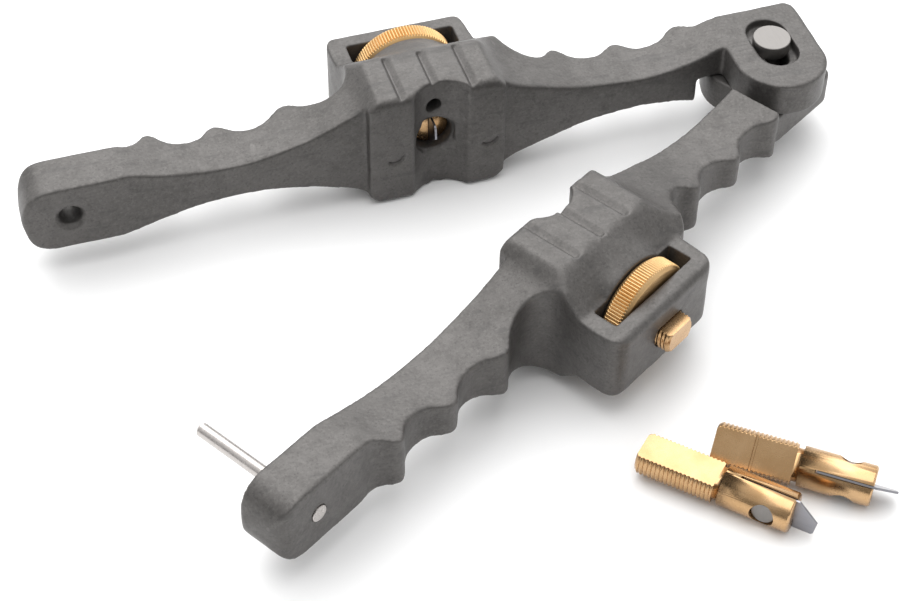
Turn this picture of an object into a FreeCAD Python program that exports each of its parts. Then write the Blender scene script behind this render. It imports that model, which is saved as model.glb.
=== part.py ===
import FreeCAD, Part
import math
import os

# Two-handled fibre stripper: two cast arms on a common hinge pin, a blade cartridge
# set by a knurled thumbwheel in each arm, a guide dowel, and two loose spare cartridges.
#
# Frame: +Z up, origin on the table under the middle of the whole set.  Each arm is made
# in its own frame first: X runs along the arm towards the hinge (0 at the dowel hole),
# Y runs from the jaw side outwards, Z is measured from the arm's mid-plane.

V = FreeCAD.Vector
doc = FreeCAD.newDocument("fibre_stripper")

# ---------------------------------------------------------------- driving dimensions
dims = doc.addObject("Spreadsheet::Sheet", "dims")
DIM = [
    # layout
    ("mid_height", 17.0, "height of both arms' mid-plane over the table"),
    ("shift_along", -93.103, "table origin, along arm A"),
    ("shift_across", 43.820, "table origin, across arm A"),
    ("open_angle", 31.66, "angle between the arms as stored, degrees"),
    # casting
    ("block_half", 17.0, "half height of the jaw block"),
    ("end_half", 9.6, "half height of end block, lug"),
    ("housing_half", 9.4, "half height of the wheel housing"),
    ("jaw_face", -0.6, "jaw face, from the arm's datum plane"),
    ("crown_out", 16.4, "outer edge of the crown"),
    ("slope_out", 24.6, "outer foot of the slope behind the crown"),
    ("housing_out", 36.5, "outer face of the housing"),
    ("boss_foot", 16.9, "radius of the round boss about the cartridge bore, at the crown"),
    ("boss_end", 13.4, "its radius at the wheel window"),
    ("boss_in", 16.0, ""),
    ("window_left", 77.7, ""),
    ("window_length", 28.4, ""),
    ("window_in", 25.15, ""),
    ("window_width", 6.45, ""),
    ("axis_along", 92.2, "cartridge axis, along the arm"),
    ("head_bore", 5.1, "radius of the bore for the cartridge head"),
    ("mouth_bore", 5.4, "radius at the chamfered mouth"),
    ("thread_room", 5.5, "wider end of the bore, clear of the thread"),
    ("thread_room_in", 18.5, ""),
    ("wall_bore", 5.09, "radius of the flatted hole in the outer wall"),
    ("wall_flat", 2.85, "half distance across that hole's flats"),
    ("core_hole", 2.0, "radius of the blind hole over the bore"),
    ("core_height", 9.2, ""),
    ("core_depth", 12.0, ""),
    ("channel_mid", 93.4, "middle of the cable channel"),
    ("channel_radius", 8.7, ""),
    ("channel_back", -5.3, "centre of the channel's arc"),
    ("groove_left", 83.5, ""),
    ("groove_mid", 92.6, ""),
    ("groove_right", 101.8, ""),
    ("groove_width", 2.6, ""),
    ("groove_depth", 0.95, ""),
    ("groove_end", 15.8, ""),
    ("mark_radius", 2.7, "ejector marks on the jaw faces"),
    ("mark_left", 81.2, ""),
    ("mark_right", 106.0, ""),
    # hinge
    ("hinge_along", 183.0, "hinge axis along either arm"),
    ("hinge_in_a", 1.313, "hinge axis across arm A as stored"),
    ("hinge_in_b", 0.936, "hinge axis across arm B"),
    ("slot_inner", -3.2, "slot end centre, jaw side"),
    ("slot_travel", 7.8, "distance between the slot's end centres"),
    ("slot_half", 3.0, "half width of the through slot"),
    ("recess_half", 5.3, "half width of the head recess"),
    ("recess_depth", 2.5, ""),
    ("lug_gap", 0.15, "half the gap between the two lugs"),
    ("lug_step", 164.0, "where the other arm's lug clears the handle"),
    ("pin_radius", 2.95, ""),
    ("pin_bore", 3.0, ""),
    ("pin_head", 4.83, ""),
    ("pin_head_low", 7.25, "underside of the head over the mid-plane"),
    ("pin_head_thick", 3.55, ""),
    ("pin_length", 16.8, "below the head"),
    ("washer_radius", 4.9, ""),
    ("washer_thick", 0.8, ""),
    ("ring_radius", 4.6, ""),
    ("ring_thick", 0.7, ""),
    ("ring_bore", 2.5, ""),
    # dowel
    ("dowel_along", 0.0, ""),
    ("dowel_radius", 1.7, ""),
    ("dowel_out", 12.35, ""),
    ("dowel_head", 2.1, "radius of the dowel's stepped end"),
    ("dowel_head_length", 3.0, ""),
    ("dowel_length", 36.25, ""),
    ("dowel_hole_along", -0.4, ""),
    ("dowel_hole", 2.8, ""),
    ("dowel_mouth", 4.0, ""),
    # thumbwheel
    ("wheel_radius", 13.6, ""),
    ("wheel_thick", 5.7, ""),
    ("wheel_in", 25.52, ""),
    ("wheel_chamfer", 1.0, ""),
    ("wheel_bore", 4.99, ""),
    # cartridge, along its own X from the threaded tail
    ("thread_radius", 4.95, ""),
    ("thread_length", 18.7, ""),
    ("flat_half", 2.75, ""),
    ("neck_radius", 3.9, ""),
    ("neck_length", 1.4, ""),
    ("head_radius", 4.76, ""),
    ("head_length", 16.8, ""),
    ("head_chamfer", 0.4, ""),
    ("slot_start", 23.6, ""),
    ("slot_width", 0.8, ""),
    ("cross_along", 30.75, ""),
    ("cross_radius", 2.9, ""),
    ("blade_pin_radius", 2.86, ""),
    ("blade_pin_length", 7.3, ""),
    ("blade_thick", 0.55, ""),
    ("blade_tail", 24.0, ""),
    ("blade_half", 4.2, ""),
    ("blade_tip", 42.4, ""),
    ("blade_hole", 2.89, ""),
    ("tail_in_a", 42.8, "cartridge tail, across arm A"),
    ("tail_in_b", 39.8, "cartridge tail, across arm B"),
]
for n, (alias, value, note) in enumerate(DIM, start=1):
    dims.set("A%d" % n, alias)
    dims.set("B%d" % n, str(value))
    dims.setAlias("B%d" % n, alias)
    if note:
        dims.set("C%d" % n, note)
doc.recompute()


def D(alias):
    return float(dims.get(alias))


# ---------------------------------------------------------------- helpers
def bind(obj, prop, expr):
    obj.setExpression(prop, expr)


def ex(text):
    """dims. in front of every alias in the text"""
    out, word = "", ""
    names = {a for a, _, _ in DIM}
    for ch in text + " ":
        if ch.isalnum() or ch == "_":
            word += ch
        else:
            out += ("dims." + word if word in names else word) + ch
            word = ""
    return out.strip()


def place(obj, x="0", y="0", z="0", rot=None):
    if rot is not None:
        obj.Placement = FreeCAD.Placement(V(0, 0, 0), rot)
    bind(obj, "Placement.Base.x", ex(x))
    bind(obj, "Placement.Base.y", ex(y))
    bind(obj, "Placement.Base.z", ex(z))


def box(name, l, w, h, x, y, z):
    b = doc.addObject("Part::Box", name)
    bind(b, "Length", ex(l)); bind(b, "Width", ex(w)); bind(b, "Height", ex(h))
    place(b, x, y, z)
    return b


ALONG_X = FreeCAD.Rotation(V(0, 1, 0), 90)
ALONG_Y = FreeCAD.Rotation(V(1, 0, 0), -90)
ALONG_Z = FreeCAD.Rotation()


def cyl(name, r, h, x, y, z, rot=ALONG_Z):
    c = doc.addObject("Part::Cylinder", name)
    bind(c, "Radius", ex(r)); bind(c, "Height", ex(h))
    place(c, x, y, z, rot)
    return c


def cone(name, r1, r2, h, x, y, z, rot=ALONG_Z):
    c = doc.addObject("Part::Cone", name)
    bind(c, "Radius1", ex(r1)); bind(c, "Radius2", ex(r2)); bind(c, "Height", ex(h))
    place(c, x, y, z, rot)
    return c


def fuse(name, items):
    f = doc.addObject("Part::MultiFuse", name)
    f.Shapes = items
    return f


def common(name, items):
    f = doc.addObject("Part::MultiCommon", name)
    f.Shapes = items
    return f


def cut(name, base, tool):
    f = doc.addObject("Part::Cut", name)
    f.Base = base
    f.Tool = tool
    return f


def wire(pieces):
    """closed wire from runs of points: ('L', points) straight, ('S', points) smooth"""
    edges = []
    for kind, pts in pieces:
        v = [V(*p) for p in pts]
        if kind == "L":
            for a, b in zip(v, v[1:]):
                if a.distanceToPoint(b) > 1e-6:
                    edges.append(Part.LineSegment(a, b).toShape())
        elif kind == "A":
            edges.append(Part.Arc(v[0], v[1], v[2]).toShape())
        else:
            c = Part.BSplineCurve()
            c.interpolate(v)
            edges.append(c.toShape())
    return Part.Wire(Part.__sortEdges__(edges))


def prism(name, pieces, direction):
    f = doc.addObject("Part::Feature", name)
    face = Part.Face(wire(pieces))
    f.Shape = face.extrude(V(*direction))
    return f


# ---------------------------------------------------------------- the casting
# One casting serves both arms; arm B's is turned over.  The hinge slot and the dowel
# hole are finished differently on each.
def xy(pts, z):
    return [(a, b, z) for a, b in pts]


def casting(tag, node, slotted):
    low = -D("block_half") - 1
    high = 2 * D("block_half") + 2
    jf, ho = D("jaw_face"), D("housing_out")
    # outer side of the hinge lug, a little narrower where there is no slot
    lug_out = 15.1 if slotted else 14.2
    # plan outline, outer side: finger ridges and hollows, then round the housing
    left_outer = [(16.0, 11.9), (17.7, 12.5), (19.3, 13.8), (20.7, 15.5), (22.2, 16.2),
                  (23.7, 15.6), (25.2, 14.2), (27.0, 13.0), (29.6, 12.4), (32.8, 12.8),
                  (35.2, 14.0), (37.0, 15.8), (39.0, 16.7), (41.0, 16.0), (42.8, 14.5),
                  (45.0, 13.4), (47.7, 13.0), (50.5, 13.4), (53.0, 14.8), (55.0, 16.4),
                  (56.7, 17.0), (58.5, 16.4), (60.5, 14.8), (63.0, 13.4), (66.0, 12.6),
                  (69.0, 12.8), (71.6, 14.2), (73.3, 16.6), (73.8, 19.6), (73.4, 23.0),
                  (73.0, 26.5), (72.9, 32.5)]
    right_outer = [(110.3, 25.2), (112.6, 24.9), (114.2, 23.4), (115.7, 20.6), (117.4, 17.9),
                   (119.5, 15.9), (122.6, 14.5), (125.0, 14.9), (126.8, 16.5), (129.0, 17.8),
                   (131.0, 16.7), (132.9, 15.0), (135.0, 14.1), (137.5, 13.9), (140.2, 14.4),
                   (142.6, 15.8), (144.4, 17.3), (146.1, 17.7), (148.0, 16.6), (149.8, 15.0),
                   (152.0, 14.1), (154.3, 14.0), (157.0, 14.5), (159.2, 15.9), (161.0, 17.3),
                   (162.6, 17.6), (164.4, 16.6), (166.2, 15.2), (168.5, 14.4), (171.0, lug_out - 0.7),
                   (173.0, lug_out - 0.2)]
    # inner side, from the hinge back to the far end
    right_inner = [(170.0, 2.9), (164.0, 2.5), (158.5, 2.3), (153.0, 2.2), (147.0, 2.2),
                   (142.0, 2.2), (137.0, 2.2), (132.0, 2.0), (127.0, 1.8), (121.0, 1.7),
                   (113.0, 1.6), (110.4, 1.6)]
    left_inner = [(74.6, 1.7), (70.5, 1.7), (68.0, 1.6), (60.0, 1.2), (50.0, 0.9), (40.0, 0.6),
                  (30.0, 0.55), (20.0, 0.4), (12.7, 0.2), (11.6, 0.0)]
    nose = [(-11.4, 0.0), (-12.2, 1.0), (-12.2, 2.8), (-12.1, 5.2), (-11.8, 7.6), (-11.1, 9.8),
            (-10.1, 11.2), (-8.8, 11.9), (-7.0, 12.1)]
    cm, cr, cb = D("channel_mid"), D("channel_radius"), D("channel_back")
    half = math.sqrt(cr ** 2 - (jf - cb) ** 2)
    plan = prism(tag + "plan", [
        ("S", xy(nose, low)),
        ("L", xy([(-7.0, 12.1), (12.6, 12.1), (16.0, 11.9)], low)),
        ("S", xy(left_outer, low)),
        ("A", [(72.9, 32.5, low), (74.07, ho - 1.17, low), (76.9, ho, low)]),
        ("L", xy([(76.9, ho), (105.6, ho)], low)),
        ("A", [(105.6, ho, low), (108.43, ho - 1.17, low), (109.6, 32.5, low)]),
        ("L", xy([(109.6, 32.5), (110.3, 25.2)], low)),
        ("S", xy(right_outer, low)),
        ("L", xy([(173.0, lug_out - 0.2), (173.0, 3.0), (170.0, 2.9)], low)),
        ("S", xy(right_inner, low)),
        ("L", xy([(110.4, 1.6), (110.4, jf), (cm + half, jf)], low)),
        ("A", [(cm + half, jf, low), (cm, cb + cr, low), (cm - half, jf, low)]),
        ("L", xy([(cm - half, jf), (74.6, jf), (74.6, 1.7)], low)),
        ("S", xy(left_inner, low)),
        ("L", xy([(11.6, 0.0), (-11.4, 0.0)], low)),
    ], (0, 0, high))
    # side outline: rounded nose, end block, waisted handles, jaw block, handle
    up = [(-10.8, 6.0), (-9.8, 7.4), (-8.4, 8.5), (-6.6, 9.25), (-4.6, 9.55), (-2.6, 9.6)]
    waist_l = [(12.7, 9.6), (14.8, 9.3), (19.6, 7.95), (23.2, 7.0), (27.0, 6.3), (31.9, 5.55),
               (37.0, 5.1), (41.9, 5.0), (47.0, 5.35), (52.1, 6.2), (57.2, 7.3), (62.4, 8.85),
               (67.7, 10.9), (70.8, 12.15), (73.2, 13.4), (75.2, 15.0), (76.4, 16.2), (77.6, 17.0)]
    waist_r = [(107.4, 17.0), (108.6, 16.2), (109.8, 14.9), (112.0, 12.9), (115.0, 11.4),
               (120.8, 9.5), (129.2, 7.0), (137.5, 5.5), (143.0, 5.0), (148.4, 4.7), (154.0, 5.2),
               (159.6, 6.1), (166.2, 8.0), (170.2, 9.2), (173.5, 9.6)]
    off = -3.0
    deep = ho + 6

    def xz(pts, s=1):
        return [(a, off, s * b) for a, b in pts]
    side = prism(tag + "side", [
        ("S", xz([(-12.2, -0.4), (-12.1, 2.0), (-11.6, 4.2)] + up)),
        ("L", xz([(-2.6, 9.6), (12.7, 9.6)])),
        ("S", xz(waist_l)),
        ("L", xz([(77.6, 17.0), (107.4, 17.0)])),
        ("S", xz(waist_r)),
        ("L", xz([(173.5, 9.6), (173.5, -9.6)])),
        ("S", xz(waist_r[::-1], -1)),
        ("L", xz([(107.4, -17.0), (77.6, -17.0)])),
        ("S", xz(waist_l[::-1], -1)),
        ("L", xz([(12.7, -9.6), (-2.6, -9.6)])),
        ("S", xz(([(-12.1, 1.0), (-11.6, 3.4)] + up)[::-1], -1)),
        ("L", [(-12.1, off, -1.0), (-12.2, off, -0.4)]),
    ], (0, deep, 0))
    # section across the arm: crown, slope, wheel housing
    bh, hh, co, so = D("block_half"), D("housing_half"), D("crown_out"), D("slope_out")
    r = 1.8
    k = r * (1 - math.sqrt(0.5))
    sec = [
        ("L", [(-20, jf, -bh + r), (-20, jf, bh - r)]),
        ("A", [(-20, jf, bh - r), (-20, jf + k, bh - k), (-20, jf + r, bh)]),
        ("L", [(-20, jf + r, bh), (-20, co, bh), (-20, so, hh), (-20, ho - 1.2, hh),
               (-20, ho, hh - 1.2), (-20, ho, -hh + 1.2), (-20, ho - 1.2, -hh), (-20, so, -hh),
               (-20, co, -bh), (-20, jf + r, -bh)]),
        ("A", [(-20, jf + r, -bh), (-20, jf + k, -bh + k), (-20, jf, -bh + r)]),
    ]
    section = prism(tag + "section", sec, (200, 0, 0))
    core = common(tag + "core", [plan, side, section])
    # hinge lug: upper half of the arm only
    lug_top = D("end_half") + 0.1
    lug_pts = [
        ("L", xy([(162.0, 3.0), (170.2, 2.8), (170.8, 2.2), (170.8, -6.6)], 0)),
        ("S", xy([(170.8, -6.6), (172.0, -10.2), (174.3, -13.3), (177.6, -15.9), (181.0, -17.0),
                  (185.0, -17.0), (188.7, -15.5), (191.6, -13.2), (193.6, -10.0), (194.5, -6.4)], 0)),
        ("L", xy([(194.5, -6.4), (194.7, lug_out - 5.1)], 0)),
        ("S", xy([(194.7, lug_out - 5.1), (194.3, lug_out - 2.4), (193.2, lug_out - 0.7), (191.0, lug_out)], 0)),
        ("L", xy([(191.0, lug_out), (173.0, lug_out - 0.2), (162.0, 14.0), (162.0, 3.0)], 0)),
    ]
    lug = prism(tag + "lug", lug_pts, (0, 0, lug_top))
    lug_side = prism(tag + "lug_side", [
        ("S", [(162.0, -25, 5.0), (164.0, -25, 6.6), (166.2, -25, 8.0), (168.4, -25, 8.9),
               (171.0, -25, 9.5), (173.5, -25, lug_top)]),
        ("L", [(173.5, -25, lug_top), (193.9, -25, lug_top), (194.9, -25, lug_top - 1.0),
               (194.9, -25, 0), (162.0, -25, 0), (162.0, -25, 5.0)]),
    ], (0, 60, 0))
    lug_body = common(tag + "lug_body", [lug, lug_side])
    # round boss about the cartridge bore, between the crown and the wheel window
    boss = cone(tag + "boss", "boss_foot", "boss_end", "window_in - boss_in", "axis_along", "boss_in", "0", ALONG_Y)
    rough = fuse(tag + "rough", [core, lug_body, boss])
    # what is cut away
    tools = []
    tools.append(box(tag + "lug_room", "60", "60", "block_half + lug_gap", "lug_step", "-22", "-block_half"))
    tools.append(box(tag + "window", "window_length", "window_width", "40",
                     "window_left", "window_in", "-20"))
    tools.append(cyl(tag + "bore", "head_bore", "window_in + 3", "axis_along", "-2", "0", ALONG_Y))
    tools.append(cone(tag + "bore_mouth", "mouth_bore + 1", "head_bore", "mouth_bore + 1 - head_bore",
                      "axis_along", "channel_back + channel_radius - 1 ", "0", ALONG_Y))
    tools.append(cyl(tag + "thread_room", "thread_room", "window_in + 3 - thread_room_in", "axis_along",
                     "thread_room_in", "0", ALONG_Y))
    wall_c = cyl(tag + "wall_round", "wall_bore", "8", "axis_along", "window_in + window_width - 1", "0", ALONG_Y)
    wall_b = box(tag + "wall_flats", "12", "8", "wall_flat * 2", "axis_along - 6",
                 "window_in + window_width - 1", "-wall_flat")
    tools.append(common(tag + "wall_hole", [wall_c, wall_b]))
    tools.append(cyl(tag + "core_hole", "core_hole", "core_depth + 4", "axis_along + 0.2",
                     "channel_back + channel_radius - 4", "core_height", ALONG_Y))
    # three grooves on each crown: a steep side and a gentle side
    gd, gw, ge = D("groove_depth"), D("groove_width"), D("groove_end")
    for s in (1, -1):
        for gname in ("left", "mid", "right"):
            g = D("groove_" + gname)
            z0 = s * bh
            g_in = g - 0.45 * gw
            g_out = g + 0.55 * gw
            f = doc.addObject("Part::Feature", tag + "groove_%s_%s" % (gname, "top" if s > 0 else "low"))
            tri = Part.Face(wire([("L", [(g_in - 0.05, -2, z0 + 0.05 * s), (g_in + 0.35, -2, z0 - gd * s),
                                         (g_in + 0.75, -2, z0 - gd * s), (g_out + 0.1, -2, z0 + 0.05 * s),
                                         (g_in - 0.05, -2, z0 + 0.05 * s)])]))
            f.Shape = tri.extrude(V(0, ge + 2, 0))
            tools.append(f)
    for gname in ("mark_left", "mark_right"):
        tools.append(cyl(tag + gname, "mark_radius", "0.25", gname, "jaw_face", "-1.6", ALONG_Y))
    # hinge: a slot and head recess in arm A, a plain bore and ring recess in arm B
    if slotted:
        for sub, w, z, h in (("slot", "slot_half", "-1", "block_half"),
                             ("recess", "recess_half", "end_half + 0.1 - recess_depth", "block_half")):
            a = cyl(tag + sub + "_in", w, h, "hinge_along", "slot_inner", z)
            b = cyl(tag + sub + "_out", w, h, "hinge_along", "slot_inner + slot_travel", z)
            m = box(tag + sub + "_mid", w + " * 2", "slot_travel", h, "hinge_along - " + w, "slot_inner", z)
            tools += [a, b, m]
        tools.append(cyl(tag + "dowel_bore", "dowel_hole", "20", "dowel_hole_along", "-2", "0", ALONG_Y))
        tools.append(cone(tag + "dowel_mouth", "dowel_mouth + 0.5", "dowel_hole",
                          "dowel_mouth + 0.5 - dowel_hole", "dowel_hole_along", "-0.5", "0", ALONG_Y))
    else:
        tools.append(cyl(tag + "pin_bore", "pin_bore", "block_half", "hinge_along", "hinge_in_b", "-1"))
        tools.append(cyl(tag + "ring_recess", "recess_half", "block_half", "hinge_along", "hinge_in_b",
                         "end_half + 0.1 - recess_depth"))
        tools.append(cyl(tag + "dowel_bore", "dowel_radius", "20", "dowel_along", "-2", "0", ALONG_Y))
        tools.append(cyl(tag + "dowel_step", "dowel_head", "6", "dowel_along", "dowel_out - dowel_head_length",
                         "0", ALONG_Y))
    tool = fuse(tag + "cuts", tools)
    out = cut(node, rough, tool)
    out.Label = node
    return out


# arm A lies along X; arm B is turned over about its length and swung about the hinge
def frame_a():
    return FreeCAD.Placement(V(D("shift_along"), D("shift_across"), D("mid_height")), FreeCAD.Rotation())


def frame_b():
    turn = FreeCAD.Rotation(V(0, 0, 1), D("open_angle")) * FreeCAD.Rotation(V(1, 0, 0), 180)
    pivot = FreeCAD.Placement(V(D("hinge_along") + D("shift_along"), D("hinge_in_a") + D("shift_across"),
                                D("mid_height")), turn)
    return pivot * FreeCAD.Placement(V(-D("hinge_along"), -D("hinge_in_b"), 0), FreeCAD.Rotation())


NODES = []


def finish(obj, placement):
    obj.Placement = placement
    NODES.append(obj)
    return obj


arm_a = casting("a_", "arm_a_casting", True)
finish(arm_a, frame_a())
arm_b = casting("b_", "arm_b_casting", False)
finish(arm_b, frame_b())


# ---------------------------------------------------------------- hinge pin and its keepers
def body_feature(node):
    b = doc.addObject("PartDesign::Body", node)
    b.Label = node
    return b


def plane_of(body, role):
    for f in body.Origin.OriginFeatures:
        if f.Role == role:
            return f
    raise ValueError(role)


def axis_of(body, role):
    for f in body.Origin.OriginFeatures:
        if f.Role == role:
            return f
    raise ValueError(role)


def turned(node, points, bound):
    """solid of revolution about the body's Z from a closed outline in its XZ plane;
    bound maps 'x3' or 'y3' (a point's coordinate) to an expression"""
    import Sketcher
    body = body_feature(node)
    sk = body.newObject("Sketcher::SketchObject", node + "_outline")
    sk.AttachmentSupport = (plane_of(body, "XZ_Plane"), [""])
    sk.MapMode = "FlatFace"
    n = len(points)
    for i in range(n):
        a, b = points[i], points[(i + 1) % n]
        sk.addGeometry(Part.LineSegment(V(a[0], a[1], 0), V(b[0], b[1], 0)), False)
    for i in range(n):
        sk.addConstraint(Sketcher.Constraint("Coincident", i, 2, (i + 1) % n, 1))
    for i in range(n):
        x, y = points[i]
        if abs(x) < 1e-9:
            sk.addConstraint(Sketcher.Constraint("PointOnObject", i, 1, -2))
        else:
            k = sk.addConstraint(Sketcher.Constraint("DistanceX", -1, 1, i, 1, x))
            if ("x%d" % i) in bound:
                sk.setExpression("Constraints[%d]" % k, ex(bound["x%d" % i]))
        if abs(y) < 1e-9:
            sk.addConstraint(Sketcher.Constraint("PointOnObject", i, 1, -1))
        else:
            k = sk.addConstraint(Sketcher.Constraint("DistanceY", -1, 1, i, 1, y))
            if ("y%d" % i) in bound:
                sk.setExpression("Constraints[%d]" % k, ex(bound["y%d" % i]))
    rev = body.newObject("PartDesign::Revolution", node + "_turned")
    rev.Profile = sk
    rev.ReferenceAxis = (sk, ["V_Axis"])
    rev.Angle = 360
    doc.recompute()
    return body


# Z of these three runs up, 0 at the underside of the pin's head
pr, hr, pl, ht = D("pin_radius"), D("pin_head"), D("pin_length"), D("pin_head_thick")
rb, rt_, wt = D("ring_bore"), D("ring_thick"), D("washer_thick")
washer_top = -(D("pin_head_low") + D("end_half") + 0.1 - D("recess_depth")) - 0.03
ring_top = washer_top - wt - 0.05
pin = turned("hinge_pin", [
    (0, ht), (hr - 0.15, ht), (hr, ht - 0.15), (hr, 0.04), (pr, 0.04), (pr, ring_top + 0.03),
    (rb, ring_top + 0.03), (rb, ring_top - rt_ - 0.03), (pr, ring_top - rt_ - 0.03),
    (pr, -pl + 0.4), (pr - 0.4, -pl), (0, -pl)],
    {"y0": "pin_head_thick", "y1": "pin_head_thick", "x1": "pin_head - 0.15", "x2": "pin_head",
     "y2": "pin_head_thick - 0.15", "x3": "pin_head", "x4": "pin_radius", "x5": "pin_radius",
     "x6": "ring_bore", "x7": "ring_bore", "x8": "pin_radius", "x9": "pin_radius",
     "x10": "pin_radius - 0.4"})
hinge_at = frame_a() * FreeCAD.Placement(V(D("hinge_along"), D("hinge_in_a"), D("pin_head_low")),
                                         FreeCAD.Rotation())
finish(pin, hinge_at)
washer = turned("hinge_washer", [
    (D("pin_bore"), washer_top), (D("washer_radius"), washer_top),
    (D("washer_radius"), washer_top - wt), (D("pin_bore"), washer_top - wt)],
    {"x0": "pin_bore", "x1": "washer_radius", "x2": "washer_radius", "x3": "pin_bore"})
finish(washer, hinge_at)

# open retaining ring sprung into the groove at the pin's lower end
ring_o = cyl("ring_round", "ring_radius", "ring_thick", "0", "0", "0")
ring_i = cyl("ring_inside", "ring_bore", "ring_thick + 2", "0", "0", "-1")
ring_g = box("ring_gap", "6", "ring_bore * 1.5", "ring_thick + 2", "0", "-ring_bore * 0.75", "-1")
ring = cut("hinge_retaining_ring", ring_o, fuse("ring_cuts", [ring_i, ring_g]))
ring.Label = "hinge_retaining_ring"
finish(ring, hinge_at * FreeCAD.Placement(V(0, 0, ring_top - rt_), FreeCAD.Rotation(V(0, 0, 1), 40)))

# ---------------------------------------------------------------- guide dowel in arm B
dr, dl = D("dowel_radius"), D("dowel_length")
dh, dk = D("dowel_head"), D("dowel_head_length")
dowel = turned("guide_dowel", [(0, 0), (dh - 0.12, 0), (dh, 0.12), (dh, dk), (dr, dk), (dr, dl - 0.7),
                               (dr - 0.7, dl), (0, dl)],
               {"x1": "dowel_head - 0.12", "x2": "dowel_head", "x3": "dowel_head",
                "y3": "dowel_head_length", "x4": "dowel_radius", "y4": "dowel_head_length",
                "x5": "dowel_radius", "y5": "dowel_length - 0.7", "x6": "dowel_radius - 0.7",
                "y6": "dowel_length", "y7": "dowel_length"})
finish(dowel, frame_b() * FreeCAD.Placement(V(D("dowel_along"), D("dowel_out"), 0),
                                            FreeCAD.Rotation(V(1, 0, 0), 90)))


# ---------------------------------------------------------------- thumbwheels
def thumbwheel(node, frame):
    wr, wk, wc, wb = D("wheel_radius"), D("wheel_thick"), D("wheel_chamfer"), D("wheel_bore")
    w = turned(node, [(wb, 0), (wr - wc, 0), (wr, wc), (wr, wk - wc), (wr - wc, wk), (wb, wk)],
               {"x0": "wheel_bore", "x1": "wheel_radius - wheel_chamfer", "x2": "wheel_radius",
                "y2": "wheel_chamfer", "x3": "wheel_radius", "y3": "wheel_thick - wheel_chamfer",
                "x4": "wheel_radius - wheel_chamfer", "y4": "wheel_thick", "x5": "wheel_bore",
                "y5": "wheel_thick"})
    return finish(w, frame * FreeCAD.Placement(V(D("axis_along"), D("wheel_in"), 0), ALONG_Y))


thumbwheel("thumbwheel_a", frame_a())
thumbwheel("thumbwheel_b", frame_b())


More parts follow.
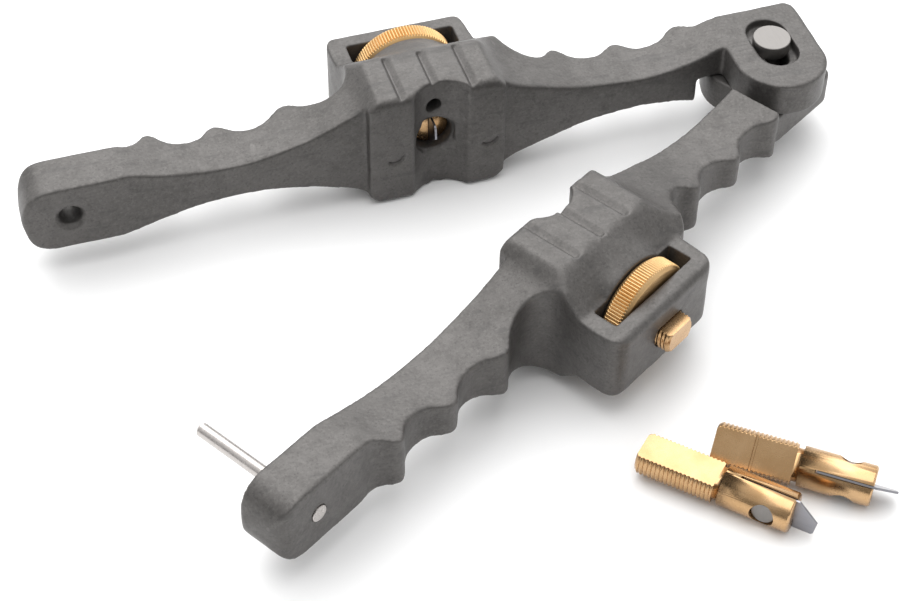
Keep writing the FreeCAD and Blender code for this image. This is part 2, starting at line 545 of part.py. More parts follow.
# ---------------------------------------------------------------- blade cartridges
# X from the threaded tail to the blade, flats facing +Z and -Z, blade in the XZ plane
def cartridge(suffix, tag, at):
    th_c = cyl(tag + "thread_round", "thread_radius", "thread_length", "0", "0", "0", ALONG_X)
    th_b = box(tag + "thread_flats", "thread_length", "thread_radius * 2 + 2", "flat_half * 2",
               "0", "-thread_radius - 1", "-flat_half")
    th = common(tag + "thread", [th_c, th_b])
    # the flats run on over the neck, up to the head
    neck_c = cyl(tag + "neck_round", "neck_radius", "neck_length + 1", "thread_length - 0.5", "0", "0", ALONG_X)
    neck_b = box(tag + "neck_flats", "neck_length + 1", "neck_radius * 2 + 2", "flat_half * 2",
                 "thread_length - 0.5", "-neck_radius - 1", "-flat_half")
    neck = common(tag + "neck", [neck_c, neck_b])
    head_c = cyl(tag + "head_round", "head_radius", "head_length - head_chamfer",
                 "thread_length + neck_length", "0", "0", ALONG_X)
    head_n = cone(tag + "head_nose", "head_radius", "head_radius - head_chamfer", "head_chamfer",
                  "thread_length + neck_length + head_length - head_chamfer", "0", "0", ALONG_X)
    solid = fuse(tag + "solid", [th, neck, head_c, head_n])
    slot = box(tag + "slot", "head_length", "slot_width", "head_radius * 2 + 2",
               "slot_start", "-slot_width / 2", "-head_radius - 1")
    hole = cyl(tag + "cross_hole", "cross_radius", "head_radius * 2 + 2", "cross_along",
               "-head_radius - 1", "0", ALONG_Y)
    c = cut("cartridge_" + suffix, solid, fuse(tag + "cuts", [slot, hole]))
    c.Label = "cartridge_" + suffix
    finish(c, at)
    # blade: flat plate with a slanted, blunted tip
    t, bh = D("blade_thick"), D("blade_half")
    tip, tail = D("blade_tip"), D("blade_tail")
    outline = [(tail, -bh), (tip - 1.0, -bh), (tip - 0.5, -bh + 0.5), (tip, -0.4), (tip - 4.7, bh), (tail, bh)]
    body = body_feature("blade_" + suffix)
    import Sketcher
    sk = body.newObject("Sketcher::SketchObject", "blade_outline_" + suffix)
    sk.AttachmentSupport = (plane_of(body, "XZ_Plane"), [""])
    sk.MapMode = "FlatFace"
    n = len(outline)
    for i in range(n):
        a, b = outline[i], outline[(i + 1) % n]
        sk.addGeometry(Part.LineSegment(V(a[0], a[1], 0), V(b[0], b[1], 0)), False)
    for i in range(n):
        sk.addConstraint(Sketcher.Constraint("Coincident", i, 2, (i + 1) % n, 1))
    bound_x = {0: "blade_tail", 1: "blade_tip - 1.0", 2: "blade_tip - 0.5", 3: "blade_tip",
               4: "blade_tip - 4.7", 5: "blade_tail"}
    bound_y = {0: "-blade_half", 1: "-blade_half", 2: "-blade_half + 0.5", 4: "blade_half", 5: "blade_half"}
    for i in range(n):
        k = sk.addConstraint(Sketcher.Constraint("DistanceX", -1, 1, i, 1, outline[i][0]))
        sk.setExpression("Constraints[%d]" % k, ex(bound_x[i]))
        k = sk.addConstraint(Sketcher.Constraint("DistanceY", -1, 1, i, 1, outline[i][1]))
        if i in bound_y:
            sk.setExpression("Constraints[%d]" % k, ex(bound_y[i]))
    pad = body.newObject("PartDesign::Pad", "blade_plate_" + suffix)
    pad.Profile = sk
    pad.Midplane = True
    pad.setExpression("Length", ex("blade_thick"))
    sk2 = body.newObject("Sketcher::SketchObject", "blade_hole_" + suffix)
    sk2.AttachmentSupport = (plane_of(body, "XZ_Plane"), [""])
    sk2.MapMode = "FlatFace"
    sk2.addGeometry(Part.Circle(V(D("cross_along"), 0, 0), V(0, 0, 1), D("blade_hole")), False)
    k = sk2.addConstraint(Sketcher.Constraint("Radius", 0, D("blade_hole")))
    sk2.setExpression("Constraints[%d]" % k, ex("blade_hole"))
    k = sk2.addConstraint(Sketcher.Constraint("DistanceX", -1, 1, 0, 3, D("cross_along")))
    sk2.setExpression("Constraints[%d]" % k, ex("cross_along"))
    sk2.addConstraint(Sketcher.Constraint("PointOnObject", 0, 3, -1))
    doc.recompute()
    full = pad.Shape.Volume
    poc = body.newObject("PartDesign::Pocket", "blade_eye_" + suffix)
    poc.Profile = sk2
    poc.Midplane = True
    poc.Length = 4.0
    doc.recompute()
    assert full - poc.Shape.Volume > 5.0, "blade eye not cut"
    finish(body, at)
    # cross pin through cartridge and blade
    p = turned("blade_pin_" + suffix, [
        (0, 0), (D("blade_pin_radius") - 0.25, 0), (D("blade_pin_radius"), 0.25),
        (D("blade_pin_radius"), D("blade_pin_length") - 0.25),
        (D("blade_pin_radius") - 0.25, D("blade_pin_length")), (0, D("blade_pin_length"))],
        {"x1": "blade_pin_radius - 0.25", "x2": "blade_pin_radius", "x3": "blade_pin_radius",
         "y3": "blade_pin_length - 0.25", "x4": "blade_pin_radius - 0.25", "y4": "blade_pin_length",
         "y5": "blade_pin_length"})
    finish(p, at * FreeCAD.Placement(V(D("cross_along"), -D("blade_pin_length") / 2, 0), ALONG_Y))


INWARD = FreeCAD.Rotation(V(0, 0, 1), -90) * FreeCAD.Rotation(V(1, 0, 0), 180)
cartridge("a", "ca_", frame_a() * FreeCAD.Placement(V(D("axis_along"), D("tail_in_a"), 0), INWARD))
cartridge("b", "cb_", frame_b() * FreeCAD.Placement(V(D("axis_along"), D("tail_in_b"), 0), INWARD))


# the two spares lie on the table: one along its head, flats level, its shank clear of the
# table; the other rolled, on its head and a corner of its thread
def on_table(x, y, z, heading, pitch, roll):
    r = FreeCAD.Rotation(V(0, 0, 1), heading) * FreeCAD.Rotation(V(0, 1, 0), -pitch) * \
        FreeCAD.Rotation(V(1, 0, 0), roll)
    return FreeCAD.Placement(V(x + D("shift_along"), y + D("shift_across"), z), r)


cartridge("spare_1", "cs_", on_table(109.63, -99.99, D("head_radius") + 0.01, -45.5, 0, -3.2))
corner = math.asin(D("flat_half") / D("thread_radius"))
tail_up = D("thread_radius") * math.cos(math.radians(90 - 44.1) - corner)
lean = math.atan2(tail_up - D("head_radius"), D("neck_length") + D("head_length"))
cartridge("spare_2", "ct_", on_table(126.52, -102.12, tail_up + D("thread_length") * math.sin(lean) + 0.02,
                                      -37.8, -math.degrees(lean), 44.1))

doc.recompute()

# ---------------------------------------------------------------- checks and files
bad = [o.Name for o in doc.Objects if "Invalid" in o.State or "Error" in o.State]
if bad:
    raise RuntimeError("failed objects: %s" % bad)
os.makedirs("parts", exist_ok=True)
lo, hi = V(1e9, 1e9, 1e9), V(-1e9, -1e9, -1e9)
for o in NODES:
    s = o.Shape
    if s.isNull() or not s.isValid():
        raise RuntimeError("bad shape: " + o.Label)
    if len(s.Solids) != 1:
        raise RuntimeError("not one solid: %s has %d" % (o.Label, len(s.Solids)))
for o in NODES:
    s = o.Shape
    s.exportStep("parts/%s.step" % o.Label)
    b = s.optimalBoundingBox(True) if hasattr(s, "optimalBoundingBox") else s.BoundBox
    lo = V(min(lo.x, b.XMin), min(lo.y, b.YMin), min(lo.z, b.ZMin))
    hi = V(max(hi.x, b.XMax), max(hi.y, b.YMax), max(hi.z, b.ZMax))
    print("%-24s vol %9.1f  z %.2f..%.2f" % (o.Label, s.Volume, b.ZMin, b.ZMax))
print("nodes", len(NODES))
print("box", [round(v, 3) for v in (lo.x, lo.y, lo.z, hi.x, hi.y, hi.z)],
      "centre", round((lo.x + hi.x) / 2, 3), round((lo.y + hi.y) / 2, 3))
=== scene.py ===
import math

import bmesh
import bpy
import numpy as np
from mathutils import Matrix, Vector


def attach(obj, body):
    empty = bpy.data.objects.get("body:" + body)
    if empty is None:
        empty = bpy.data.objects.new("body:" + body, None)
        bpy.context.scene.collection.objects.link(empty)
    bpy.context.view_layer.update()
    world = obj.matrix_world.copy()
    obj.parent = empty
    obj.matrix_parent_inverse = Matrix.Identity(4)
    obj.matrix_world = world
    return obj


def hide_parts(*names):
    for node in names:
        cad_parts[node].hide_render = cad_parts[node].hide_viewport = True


# Fibre stripper: two cast arms on a hinge pin, a knurled thumbwheel and a blade
# cartridge in each, a guide dowel, and two spare cartridges lying beside them.

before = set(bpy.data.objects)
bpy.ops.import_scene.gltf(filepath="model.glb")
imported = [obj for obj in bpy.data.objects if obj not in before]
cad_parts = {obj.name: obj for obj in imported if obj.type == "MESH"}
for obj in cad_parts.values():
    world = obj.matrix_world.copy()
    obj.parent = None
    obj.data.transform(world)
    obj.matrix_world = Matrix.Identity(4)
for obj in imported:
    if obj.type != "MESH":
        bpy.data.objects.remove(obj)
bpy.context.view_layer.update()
scene = bpy.context.scene
MM = 0.001


# ------------------------------------------------------------------ camera
def camera():
    y, p, r = 0.3196000, 0.8157900, 0.0141582
    fw = Vector((math.sin(y) * math.cos(p), math.cos(y) * math.cos(p), -math.sin(p)))
    rt = Vector((math.cos(y), -math.sin(y), 0.0))
    up = rt.cross(fw)
    rt2 = math.cos(r) * rt + math.sin(r) * up
    up2 = -math.sin(r) * rt + math.cos(r) * up
    m = Matrix.Identity(4)
    for row in range(3):
        m[row][0], m[row][1], m[row][2] = rt2[row], up2[row], -fw[row]
    m[0][3], m[1][3], m[2][3] = -0.121369, -0.332684, 0.378980
    data = bpy.data.cameras.new("camera")
    data.sensor_fit = "HORIZONTAL"
    data.sensor_width = 36.0
    data.lens = 85.079
    data.clip_start = 0.01
    data.clip_end = 20.0
    cam = bpy.data.objects.new("camera", data)
    cam.matrix_world = m
    scene.collection.objects.link(cam)
    scene.camera = cam


camera()


# ------------------------------------------------------------------ the arms' own frames
# (along, across, up) in millimetres, as the castings are dimensioned
H = np.array([89.897, 45.133])
TURN = math.radians(31.66)


def to_arm(co, arm):
    """row frame in metres to an arm's own frame in millimetres"""
    p = np.asarray(co, float) * 1000.0
    if arm == "a":
        return np.c_[p[:, 0] + 93.103, p[:, 1] - 43.820, p[:, 2] - 17.0]
    dx, dy = p[:, 0] - H[0], p[:, 1] - H[1]
    c, s = math.cos(TURN), math.sin(TURN)
    a, b = c * dx + s * dy, -s * dx + c * dy
    return np.c_[183.0 + a, 0.936 - b, 17.0 - p[:, 2]]


def frame_matrix(arm):
    if arm == "a":
        return Matrix.Translation((-0.093103, 0.043820, 0.017))
    return (
        Matrix.Translation((H[0] * MM, H[1] * MM, 0.017))
        @ Matrix.Rotation(TURN, 4, "Z")
        @ Matrix.Rotation(math.pi, 4, "X")
        @ Matrix.Translation((-0.183, -0.000936, 0.0))
    )


def smoothstep(x, lo, hi):
    t = np.clip((x - lo) / (hi - lo), 0.0, 1.0)
    return t * t * (3 - 2 * t)


# ------------------------------------------------------------------ mesh helpers
def new_object(name, mesh):
    o = bpy.data.objects.new(name, mesh)
    scene.collection.objects.link(o)
    return o


def welded(node):
    """a copy of a CAD node's mesh with its seams joined"""
    bm = bmesh.new()
    bm.from_mesh(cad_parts[node].data)
    bmesh.ops.remove_doubles(bm, verts=bm.verts, dist=2e-6)
    mesh = bpy.data.meshes.new(node + "_shape")
    bm.to_mesh(mesh)
    bm.free()
    return mesh


def through_modifiers(obj):
    dg = bpy.context.evaluated_depsgraph_get()
    return bpy.data.meshes.new_from_object(obj.evaluated_get(dg), depsgraph=dg)


def remeshed(mesh, voxel):
    tmp = new_object("tmp", mesh)
    mod = tmp.modifiers.new("voxels", "REMESH")
    mod.mode = "VOXEL"
    mod.voxel_size = voxel
    mod.adaptivity = 0.0
    out = through_modifiers(tmp)
    bpy.data.objects.remove(tmp)
    return out


def coords(mesh):
    co = np.empty(len(mesh.vertices) * 3, np.float32)
    mesh.vertices.foreach_get("co", co)
    return co.reshape(-1, 3).astype(float)


def set_coords(mesh, co):
    mesh.vertices.foreach_set("co", np.asarray(co, np.float32).ravel())
    mesh.update()


def relax(mesh, co, weight, steps, factor=0.5):
    ed = np.empty(len(mesh.edges) * 2, np.int32)
    mesh.edges.foreach_get("vertices", ed)
    a, b = ed[0::2], ed[1::2]
    n = len(co)
    deg = np.maximum(np.bincount(a, minlength=n) + np.bincount(b, minlength=n), 1)
    w = (np.asarray(weight) * factor)[:, None]
    for _ in range(steps):
        mean = np.empty_like(co)
        for k in range(3):
            mean[:, k] = (
                np.bincount(a, co[b, k], n) + np.bincount(b, co[a, k], n)
            ) / deg
        co = co + (mean - co) * w
    return co


def thin_out(mesh, faces):
    """fewer triangles, taken from the flattest places"""
    tris = len(mesh.loop_triangles) or sum(len(p.vertices) - 2 for p in mesh.polygons)
    if tris <= faces:
        return mesh
    tmp = new_object("tmp", mesh)
    mod = tmp.modifiers.new("thin", "DECIMATE")
    mod.ratio = faces / tris
    out = through_modifiers(tmp)
    bpy.data.objects.remove(tmp)
    return out


# ------------------------------------------------------------------ castings
def near_box(p, lo, hi):
    """distance outside a box, zero inside"""
    lo, hi = np.array(lo, float), np.array(hi, float)
    d = np.maximum(np.maximum(lo - p, p - hi), 0.0)
    return np.linalg.norm(d, axis=1)


def softness(p, arm):
    """how much of the cast rounding a point takes: little at machined holes and grooves"""
    w = np.ones(len(p))

    def keep(d, reach, low):
        nonlocal w
        w = np.minimum(w, low + (1 - low) * smoothstep(d, 0.0, reach))

    l, t, z = p[:, 0], p[:, 1], p[:, 2]
    az = np.abs(z)
    # wheel window, and the flatted hole beyond it
    win = near_box(p, (77.7, 25.15, -20), (106.1, 31.6, 20))
    keep(win, 2.0, 0.10)
    r = np.hypot(l - 92.2, z)
    keep(np.maximum(r - 5.4, 0) + np.maximum(2.6 - t, 0), 1.5, 0.06)
    keep(np.maximum(np.hypot(l - 92.4, z - 9.2) - 2.2, 0) + np.maximum(t - 10, 0), 1.0, 0.10)
    # crown grooves
    for g in (81.2, 106.0):
        d = np.hypot(l - g, z + 1.6)
        keep(np.where(t < 1.0, np.maximum(d - 3.1, 0), 99), 0.8, 0.12)
    for g in (83.5, 92.6, 101.8):
        keep(near_box(np.c_[l, t, az], (g - 1.4, -1.0, 15.6), (g + 1.6, 16.0, 18)), 1.2, 0.10)
    if arm == "a":
        d = near_box(p, (183.0, -3.2, 3.0), (183.0, 4.6, 20)) - 5.3
        keep(np.maximum(d, 0), 1.6, 0.10)
        keep(np.maximum(np.hypot(l + 0.4, z) - 3.6, 0) + np.maximum(t - 13, 0), 1.5, 0.08)
    else:
        d = np.hypot(l - 183.0, t - 0.936) - 5.3
        keep(np.where(z > -1, np.maximum(d, 0), 99), 1.6, 0.10)
        keep(np.maximum(np.hypot(l, z) - 2.4, 0), 1.2, 0.05)
    return w


def from_arm(p, arm):
    m = np.array(frame_matrix(arm))
    q = np.c_[p * MM, np.ones(len(p))]
    return (q @ m.T)[:, :3]


def ejector_marks(co, p, arm):
    """round marks on the jaw faces, pressed in on one side only"""
    p = p.copy()
    for l0 in (81.2, 106.0):
        dl, dz = p[:, 0] - l0, p[:, 2] + 1.6
        r = np.hypot(dl, dz)
        inside = (r < 2.95) & (np.abs(p[:, 1] + 0.45) < 0.6)
        s = np.clip((dl * 0.28 - dz * 0.96) / np.maximum(r, 0.5), -1, 1)
        deep = 0.22 * smoothstep(s * r / 2.7, -0.1, 0.95) * smoothstep(-r, -2.75, -2.5)
        deep += 0.85 * np.exp(-(((r - 2.4) / 0.26) ** 2)) * smoothstep(s, 0.30, 0.62)
        p[inside, 1] = -0.6 + deep[inside]
    return from_arm(p, arm)


def waves(p, seed, count, low, high):
    """smooth noise of unit size: plane waves of low..high mm"""
    rng = np.random.default_rng(seed)
    out = np.zeros(len(p))
    for _ in range(count):
        d = rng.normal(size=3)
        d /= np.linalg.norm(d)
        k = 2 * math.pi / rng.uniform(low, high)
        out += np.sin(p @ d * k + rng.uniform(0, 6.28))
    return out / math.sqrt(count / 2)


def uneven(mesh, co, p, arm):
    """the casting's skin is never quite true: low waves and fine grain"""
    no = np.empty(len(mesh.vertices) * 3, np.float32)
    mesh.vertices.foreach_get("normal", no)
    no = no.reshape(-1, 3)
    seed = 11 if arm == "a" else 12
    h = 0.022 * waves(p, seed, 14, 5.0, 12.0) + 0.006 * waves(p, seed + 5, 18, 1.6, 3.2)
    w = softness(p, arm)
    return co + no * (h * w * MM)[:, None]


def casting(arm, material):
    node = "arm_%s_casting" % arm
    voxel = 0.36 * MM
    mesh = remeshed(welded(node), voxel)
    co = coords(mesh)
    p = to_arm(co, arm)
    w = softness(p, arm)
    # one spread, whatever the voxel size
    steps = max(2, int(round(0.60**2 / (0.25 * (voxel / MM) ** 2))))
    co = relax(mesh, co, w, steps)
    # the boss runs softly into the slope behind the crown
    l, t, az = p[:, 0], p[:, 1], np.abs(p[:, 2])
    soft = smoothstep(t, 14.5, 17.0) * smoothstep(-t, -24.6, -23.2)
    soft *= smoothstep(az, 8.6, 10.5) * smoothstep(l, 73.5, 76.0) * smoothstep(-l, -111.0, -108.5)
    co = relax(mesh, co, soft * w, steps * 6)
    co = relax(mesh, co, np.full(len(co), 1.0), 1, 0.35)
    co = ejector_marks(co, to_arm(co, arm), arm)
    set_coords(mesh, co)
    co = uneven(mesh, co, to_arm(co, arm), arm)
    set_coords(mesh, co)
    mesh = thin_out(mesh, 190000)
    mesh.name = node + "_skin"
    o = new_object("casting_" + arm, mesh)
    mesh.shade_smooth()
    mesh.materials.clear()
    mesh.materials.append(material)
    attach(o, "arm_" + arm)
    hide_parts(node)
    return o


# ------------------------------------------------------------------ materials
def material(name):
    m = bpy.data.materials.new(name)
    m.use_nodes = True
    nt = m.node_tree
    nt.nodes.clear()
    out = nt.nodes.new("ShaderNodeOutputMaterial")
    bsdf = nt.nodes.new("ShaderNodeBsdfPrincipled")
    nt.links.new(bsdf.outputs["BSDF"], out.inputs["Surface"])
    return m, nt, bsdf


def node(nt, kind, **settings):
    n = nt.nodes.new("ShaderNode" + kind)
    for key, value in settings.items():
        if key in n.inputs:
            n.inputs[key].default_value = value
        else:
            setattr(n, key, value)
    return n


def noise(nt, coord, scale, detail=3.0, rough=0.55, stretch=None):
    src = coord
    if stretch is not None:
        m = node(nt, "Mapping")
        m.inputs["Scale"].default_value = stretch
        nt.links.new(coord, m.inputs["Vector"])
        src = m.outputs["Vector"]
    n = node(nt, "TexNoise", Scale=scale, Detail=detail, Roughness=rough)
    nt.links.new(src, n.inputs["Vector"])
    return n.outputs["Fac"]


def ramp(nt, src, stops):
    r = nt.nodes.new("ShaderNodeValToRGB")
    el = r.color_ramp.elements
    while len(el) < len(stops):
        el.new(0.5)
    for e, (pos, val) in zip(el, stops):
        e.position = pos
        e.color = (*val, 1.0) if hasattr(val, "__len__") else (val, val, val, 1.0)
    nt.links.new(src, r.inputs["Fac"])
    return r.outputs["Color"]


def mix(nt, fac, a, b, blend="MIX"):
    m = nt.nodes.new("ShaderNodeMix")
    m.data_type = "RGBA"
    m.blend_type = blend
    for sock, val in ((m.inputs[0], fac), (m.inputs[6], a), (m.inputs[7], b)):
        if hasattr(val, "is_output"):
            nt.links.new(val, sock)
        elif hasattr(val, "__len__"):
            sock.default_value = (*val, 1.0)
        else:
            sock.default_value = val
    return m.outputs[2]


def arith(nt, op, a, b=None, c=None):
    m = nt.nodes.new("ShaderNodeMath")
    m.operation = op
    for sock, val in zip(m.inputs, (a, b, c)):
        if val is None:
            continue
        if hasattr(val, "is_output"):
            nt.links.new(val, sock)
        else:
            sock.default_value = val
    return m.outputs[0]


def bump(nt, height, strength, distance, normal=None):
    b = nt.nodes.new("ShaderNodeBump")
    b.inputs["Strength"].default_value = strength
    b.inputs["Distance"].default_value = distance
    nt.links.new(height, b.inputs["Height"])
    if normal is not None:
        nt.links.new(normal, b.inputs["Normal"])
    return b.outputs["Normal"]


def cast_metal():
    m, nt, bsdf = material("cast_alloy_satin")
    obj = node(nt, "TexCoord").outputs["Object"]
    big = noise(nt, obj, 60.0, 2.0)
    mid = noise(nt, obj, 260.0, 5.0, 0.62)
    fine = noise(nt, obj, 2300.0, 4.0, 0.7)
    skin = noise(nt, obj, 1050.0, 4.0, 0.65)
    grain = noise(nt, obj, 1500.0, 3.0, 0.6)
    pits = node(nt, "TexVoronoi", Scale=520.0)
    nt.links.new(obj, pits.inputs["Vector"])
    pit = ramp(nt, pits.outputs["Distance"], [(0.0, 0.0), (0.14, 1.0)])
    scuff = noise(nt, obj, 420.0, 3.0, 0.5, (0.22, 1.0, 1.0))
    edge = ramp(
        nt, node(nt, "NewGeometry").outputs["Pointiness"], [(0.515, 0.0), (0.58, 1.0)]
    )
    base = mix(
        nt,
        ramp(nt, big, [(0.3, 0.0), (0.7, 1.0)]),
        (0.089, 0.084, 0.080),
        (0.107, 0.101, 0.097),
    )
    base = mix(nt, ramp(nt, mid, [(0.45, 0.0), (0.70, 0.50)]), base, (0.066, 0.062, 0.059))
    base = mix(nt, ramp(nt, skin, [(0.48, 0.0), (0.66, 0.50)]), base, (0.140, 0.133, 0.127))
    base = mix(nt, ramp(nt, grain, [(0.34, 0.35), (0.47, 0.0)]), base, (0.040, 0.038, 0.036))
    base = mix(nt, ramp(nt, scuff, [(0.60, 0.0), (0.68, 0.35)]), base, (0.055, 0.053, 0.052))
    worn = arith(nt, "MULTIPLY", edge, ramp(nt, mid, [(0.3, 0.05), (0.65, 0.18)]))
    base = mix(nt, worn, base, (0.30, 0.29, 0.28))
    # painted shade: the pit centres are painted near black, standing in for the shade inside the small
    # dents
    base = mix(
        nt,
        arith(nt, "MULTIPLY", arith(nt, "SUBTRACT", 1.0, pit), 0.6),
        base,
        (0.03, 0.029, 0.028),
    )
    nt.links.new(base, bsdf.inputs["Base Color"])
    bsdf.inputs["Metallic"].default_value = 0.5
    rough = arith(
        nt,
        "ADD",
        arith(nt, "MULTIPLY", mid, 0.22),
        arith(nt, "ADD", arith(nt, "MULTIPLY", fine, 0.12), 0.28),
    )
    nt.links.new(rough, bsdf.inputs["Roughness"])
    h = arith(
        nt,
        "ADD",
        arith(nt, "MULTIPLY", skin, 0.6),
        arith(nt, "ADD", arith(nt, "MULTIPLY", fine, 0.35), arith(nt, "MULTIPLY", pit, 0.25)),
    )
    nt.links.new(bump(nt, h, 0.40, 0.00016), bsdf.inputs["Normal"])
    return m


def steel(name, tone, rough, grain=(1.0, 1.0, 30.0), scale=260.0):
    m, nt, bsdf = material(name)
    obj = node(nt, "TexCoord").outputs["Object"]
    lines = noise(nt, obj, scale, 4.0, 0.65, grain)
    cloud = noise(nt, obj, 160.0, 2.0)
    base = mix(nt, ramp(nt, lines, [(0.3, 0.0), (0.7, 1.0)]), [c * 0.86 for c in tone], tone)
    nt.links.new(base, bsdf.inputs["Base Color"])
    bsdf.inputs["Metallic"].default_value = 1.0
    r = arith(
        nt,
        "ADD",
        arith(nt, "MULTIPLY", lines, 0.12),
        arith(nt, "ADD", arith(nt, "MULTIPLY", cloud, 0.08), rough - 0.1),
    )
    nt.links.new(r, bsdf.inputs["Roughness"])
    nt.links.new(bump(nt, lines, 0.25, 0.00004), bsdf.inputs["Normal"])
    return m


def brass(name, tone, rough):
    m, nt, bsdf = material(name)
    obj = node(nt, "TexCoord").outputs["Object"]
    cloud = noise(nt, obj, 130.0, 3.0)
    fine = noise(nt, obj, 1400.0, 3.0)
    dark = [tone[0] * 0.80, tone[1] * 0.74, tone[2] * 0.64]
    base = mix(nt, ramp(nt, cloud, [(0.3, 0.0), (0.7, 1.0)]), dark, tone)
    nt.links.new(base, bsdf.inputs["Base Color"])
    bsdf.inputs["Metallic"].default_value = 1.0
    r = arith(
        nt,
        "ADD",
        arith(nt, "MULTIPLY", cloud, 0.10),
        arith(nt, "ADD", arith(nt, "MULTIPLY", fine, 0.08), rough - 0.09),
    )
    nt.links.new(r, bsdf.inputs["Roughness"])
    nt.links.new(bump(nt, fine, 0.2, 0.00003), bsdf.inputs["Normal"])
    return m


CAST = cast_metal()
PIN_STEEL = steel("pin_steel_turned", (0.27, 0.258, 0.248), 0.50, (30.0, 1.0, 1.0))
DOWEL_STEEL = steel("dowel_steel_ground", (0.52, 0.49, 0.47), 0.26, (6.0, 6.0, 6.0))
SPRING_STEEL = steel("spring_steel_dark", (0.30, 0.30, 0.31), 0.35)
BLADE_STEEL = steel("blade_steel_ground", (0.33, 0.33, 0.355), 0.32)
WHEEL_BRASS = brass("wheel_brass_turned", (0.64, 0.43, 0.215), 0.42)
CART_BRASS = brass("cartridge_brass_matt", (0.57, 0.375, 0.205), 0.27)

for arm in ("a", "b"):
    casting(arm, CAST)


# ------------------------------------------------------------------ thumbwheels
def grid_faces(rows, cols, first=0, flip=False):
    """quads of a closed band: rows rings of cols points"""
    faces = []
    for i in range(rows - 1):
        for j in range(cols):
            a = first + i * cols + j
            b = first + i * cols + (j + 1) % cols
            c = first + (i + 1) * cols + (j + 1) % cols
            d = first + (i + 1) * cols + j
            faces.append((a, d, c, b) if flip else (a, b, c, d))
    return faces


def thumbwheel(arm, mat):
    """knurled nut: straight teeth on the rim, chamfers, turned faces, plain bore"""
    teeth, per = 108, 8
    cols = teeth * per
    th = np.arange(cols) / cols * 2 * math.pi
    ph = (np.arange(cols) % per) / per
    # tooth: rounded crest, V root
    tooth = np.clip(np.abs(ph - 0.5) * 2.0, 0.0, 1.0)
    drop = 0.36 * smoothstep(tooth, 0.25, 1.0)
    R, K, C = 13.6, 5.7, 1.0
    rings = []  # (radius array, along)

    def ring(r, t):
        rings.append((np.broadcast_to(np.asarray(r, float), (cols,)), t))

    bore = 4.99
    ring(bore, 0.35)
    ring(bore + 0.35, 0.0)
    ring(7.6, 0.0)
    ring(7.75, 0.10)
    ring(8.05, 0.10)
    ring(8.2, 0.0)
    ring(R - C - 0.12, 0.0)
    ring(R - C + 0.05, 0.06)
    for k in np.linspace(0.25, 1.0, 5):
        rim = R - C + C * k
        ring(np.minimum(rim, R - drop), C * k)
    for t in (C + 0.25, K / 2, K - C - 0.25):
        ring(R - drop, t)
    for k in np.linspace(1.0, 0.25, 5):
        rim = R - C + C * k
        ring(np.minimum(rim, R - drop), K - C * k)
    ring(R - C + 0.05, K - 0.06)
    ring(R - C - 0.12, K)
    ring(8.2, K)
    ring(8.05, K - 0.10)
    ring(7.75, K - 0.10)
    ring(7.6, K)
    ring(bore + 0.35, K)
    ring(bore, K - 0.35)
    verts = []
    for r, t in rings:
        for k in range(cols):
            verts.append((r[k] * math.cos(th[k]), r[k] * math.sin(th[k]), t))
    n = len(rings)
    faces = grid_faces(n, cols, 0, True)
    for j in range(cols):  # close the bore
        a, b = (n - 1) * cols + j, (n - 1) * cols + (j + 1) % cols
        faces.append((a, j, (j + 1) % cols, b))
    mesh = bpy.data.meshes.new("thumbwheel_%s_skin" % arm)
    mesh.from_pydata([(x * MM, y * MM, z * MM) for x, y, z in verts], [], faces)
    m = (
        frame_matrix(arm)
        @ Matrix.Translation((0.0922, 0.02552, 0.0))
        @ Matrix.Rotation(-math.pi / 2, 4, "X")
    )
    mesh.transform(m)
    bm = bmesh.new()
    bm.from_mesh(mesh)
    bmesh.ops.recalc_face_normals(bm, faces=bm.faces)
    bm.to_mesh(mesh)
    bm.free()
    mesh.shade_smooth()
    mesh.set_sharp_from_angle(angle=math.radians(32))
    mesh.materials.append(mat)
    o = new_object("knurled_wheel_" + arm, mesh)
    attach(o, "thumbwheel_" + arm)
    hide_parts("thumbwheel_" + arm)
    return o


for arm in ("a", "b"):
    thumbwheel(arm, WHEEL_BRASS)


# ------------------------------------------------------------------ cartridges
def cartridge_matrix(which):
    inward = Matrix.Rotation(-math.pi / 2, 4, "Z") @ Matrix.Rotation(math.pi, 4, "X")
    if which == "a":
        return frame_matrix("a") @ Matrix.Translation((0.0922, 0.0428, 0)) @ inward
    if which == "b":
        return frame_matrix("b") @ Matrix.Translation((0.0922, 0.0398, 0)) @ inward
    if which == "spare_1":
        at = ((109.63 - 93.103) * MM, (-99.99 + 43.820) * MM, 4.77 * MM)
        head, pitch, roll = -45.5, 0.0, -3.2
    else:
        up = 4.95 * math.cos(math.radians(45.9) - math.asin(2.75 / 4.95))
        lean = math.atan2(up - 4.76, 18.2)
        at = (
            (126.52 - 93.103) * MM,
            (-102.12 + 43.820) * MM,
            (up + 18.7 * math.sin(lean) + 0.02) * MM,
        )
        head, pitch, roll = -37.8, -math.degrees(lean), 44.1
    return (
        Matrix.Translation(at)
        @ Matrix.Rotation(math.radians(head), 4, "Z")
        @ Matrix.Rotation(math.radians(-pitch), 4, "Y")
        @ Matrix.Rotation(math.radians(roll), 4, "X")
    )


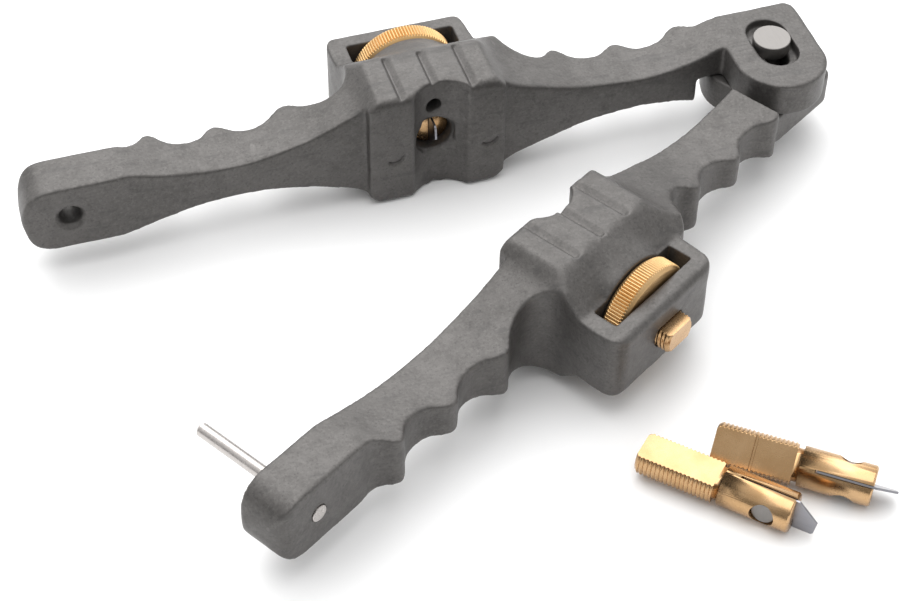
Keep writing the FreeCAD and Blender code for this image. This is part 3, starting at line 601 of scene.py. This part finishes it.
def threaded_shank(bm, scribed, pitch=1.0, length=18.7, crest=4.95, depth=0.31, flat=2.75):
    """screw thread with two milled flats, closed at both ends, X from the tail"""
    crit = [math.asin(flat / r) for r in (crest, crest - depth)]
    lo, hi = math.radians(30), math.radians(52)
    quarter = np.unique(
        np.r_[
            np.linspace(0, lo, 14),
            np.linspace(lo, hi, 14),
            np.linspace(hi, math.pi / 2, 5),
            crit,
        ]
    )
    half = np.r_[quarter, (math.pi - quarter[::-1])[1:]]
    th = np.r_[half, half[1:-1] + math.pi]
    cols = len(th)
    per = 8
    # a line scribed across each flat, half way along
    mark, cut = 9.3, (0.45 if scribed else 0.0)
    xs = np.r_[
        np.linspace(0, length, int(length / pitch * per) + 1),
        mark + np.array([-0.34, -0.25, 0.25, 0.34]),
    ]
    xs = np.unique(np.round(xs, 4))
    rows = len(xs)
    # chamfered ends
    co = []
    for x in xs:
        ph = (x / pitch - th / (2 * math.pi)) % 1.0
        tri = np.abs(ph - 0.5) * 2.0  # 1 at the crest, 0 at the root
        r = crest - depth * (1 - np.clip((tri - 0.06) / 0.80, 0, 1))
        r = np.minimum(r, min(crest - 0.75 + x, crest - 0.12 + max(length - x, 0.0)))
        y, z = r * np.cos(th), r * np.sin(th)
        deep = flat - cut * float(smoothstep(0.35 - abs(x - mark), 0.0, 0.10))
        z = np.clip(z, -deep, deep)
        co.append(np.c_[np.full(cols, x), y, z])
    co = np.concatenate(co)
    verts = [bm.verts.new(tuple(v * MM)) for v in co]
    for f in grid_faces(rows, cols):
        bm.faces.new([verts[k] for k in f])
    bm.faces.new([verts[j] for j in range(cols)][::-1])
    bm.faces.new([verts[(rows - 1) * cols + j] for j in range(cols)])


def cartridge(which, mat):
    node_name = "cartridge_" + which
    m = cartridge_matrix(which)
    # head and neck from the CAD solid, cut off behind the shank
    src = welded(node_name)
    bm = bmesh.new()
    bm.from_mesh(src)
    bm.transform(m.inverted())
    res = bmesh.ops.bisect_plane(
        bm,
        geom=bm.verts[:] + bm.edges[:] + bm.faces[:],
        plane_co=(18.75 * MM, 0, 0),
        plane_no=(1, 0, 0),
        clear_inner=True,
    )
    rim = [e for e in res["geom_cut"] if isinstance(e, bmesh.types.BMEdge)]
    bmesh.ops.contextual_create(bm, geom=rim)
    for v in bm.verts:
        if abs(v.co.x - 18.75 * MM) < 1e-6:
            v.co.x = 18.68 * MM
    threaded_shank(bm, which == "spare_2")
    bmesh.ops.recalc_face_normals(bm, faces=bm.faces)
    bm.transform(m)
    mesh = bpy.data.meshes.new(node_name + "_skin")
    bm.to_mesh(mesh)
    bm.free()
    mesh.shade_smooth()
    mesh.set_sharp_from_angle(angle=math.radians(30))
    mesh.materials.clear()
    mesh.materials.append(mat)
    o = new_object("threaded_cartridge_" + which, mesh)
    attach(o, node_name)
    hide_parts(node_name)
    return o


for which in ("a", "b", "spare_1", "spare_2"):
    cartridge(which, CART_BRASS)


# ------------------------------------------------------------------ nodes kept from CAD
def dress(node_name, mat, bevel=0.0):
    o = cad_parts[node_name]
    o.data.materials.clear()
    o.data.materials.append(mat)
    weld = o.modifiers.new("weld", "WELD")
    weld.merge_threshold = 2e-6
    if bevel:
        b = o.modifiers.new("bevel", "BEVEL")
        b.width = bevel * MM
        b.segments = 2
        b.limit_method = "ANGLE"
        b.angle_limit = math.radians(35)
        b.harden_normals = False
    return o


dress("hinge_pin", PIN_STEEL, 0.12)
dress("hinge_washer", PIN_STEEL, 0.08)
dress("hinge_retaining_ring", SPRING_STEEL, 0.06)
dress("guide_dowel", DOWEL_STEEL, 0.08)
for which in ("a", "b", "spare_1", "spare_2"):
    dress("blade_" + which, BLADE_STEEL, 0.05)
    dress("blade_pin_" + which, PIN_STEEL, 0.06)


# ------------------------------------------------------------------ floor, light
def floor():
    s = 3.0
    mesh = bpy.data.meshes.new("floor")
    mesh.from_pydata([(-s, -s, 0), (s, -s, 0), (s, s, 0), (-s, s, 0)], [], [(0, 1, 2, 3)])
    o = new_object("floor", mesh)
    o.location.z = -0.0002
    m, nt, bsdf = material("floor_white")
    bsdf.inputs["Base Color"].default_value = (0.93, 0.93, 0.93, 1)
    bsdf.inputs["Roughness"].default_value = 0.75
    bsdf.inputs["Specular IOR Level"].default_value = 0.2
    mesh.materials.append(m)


def area(name, at, target, size, power, color=(1, 1, 1)):
    d = bpy.data.lights.new(name, "AREA")
    d.shape = "RECTANGLE"
    d.size, d.size_y = size
    d.energy = power
    d.color = color
    o = bpy.data.objects.new(name, d)
    scene.collection.objects.link(o)
    o.location = at
    direction = Vector(target) - Vector(at)
    o.rotation_euler = direction.to_track_quat("-Z", "Y").to_euler()
    return o


floor()
area("softbox", (0.15, 0.95, 1.00), (0, 0, 0), (1.5, 1.0), 10.0)
area("top", (-0.25, 0.1, 1.4), (0, 0, 0), (1.3, 1.3), 9.0)
world = bpy.data.worlds.new("studio")
scene.world = world
world.use_nodes = True
# a room that is bright overhead and behind the tool, dim on the near side
wt = world.node_tree
away = node(wt, "VectorMath", operation="DOT_PRODUCT")
wt.links.new(node(wt, "TexCoord").outputs["Generated"], away.inputs[0])
away.inputs[1].default_value = (0.22, 0.50, 0.84)
room = ramp(wt, arith(wt, "MULTIPLY_ADD", away.outputs["Value"], 0.5, 0.5), [(0.33, 0.16), (0.92, 1.0)])
wt.links.new(room, wt.nodes["Background"].inputs["Color"])
wt.nodes["Background"].inputs["Strength"].default_value = 1.30
scene.view_settings.view_transform = "Standard"
scene.view_settings.look = "None"
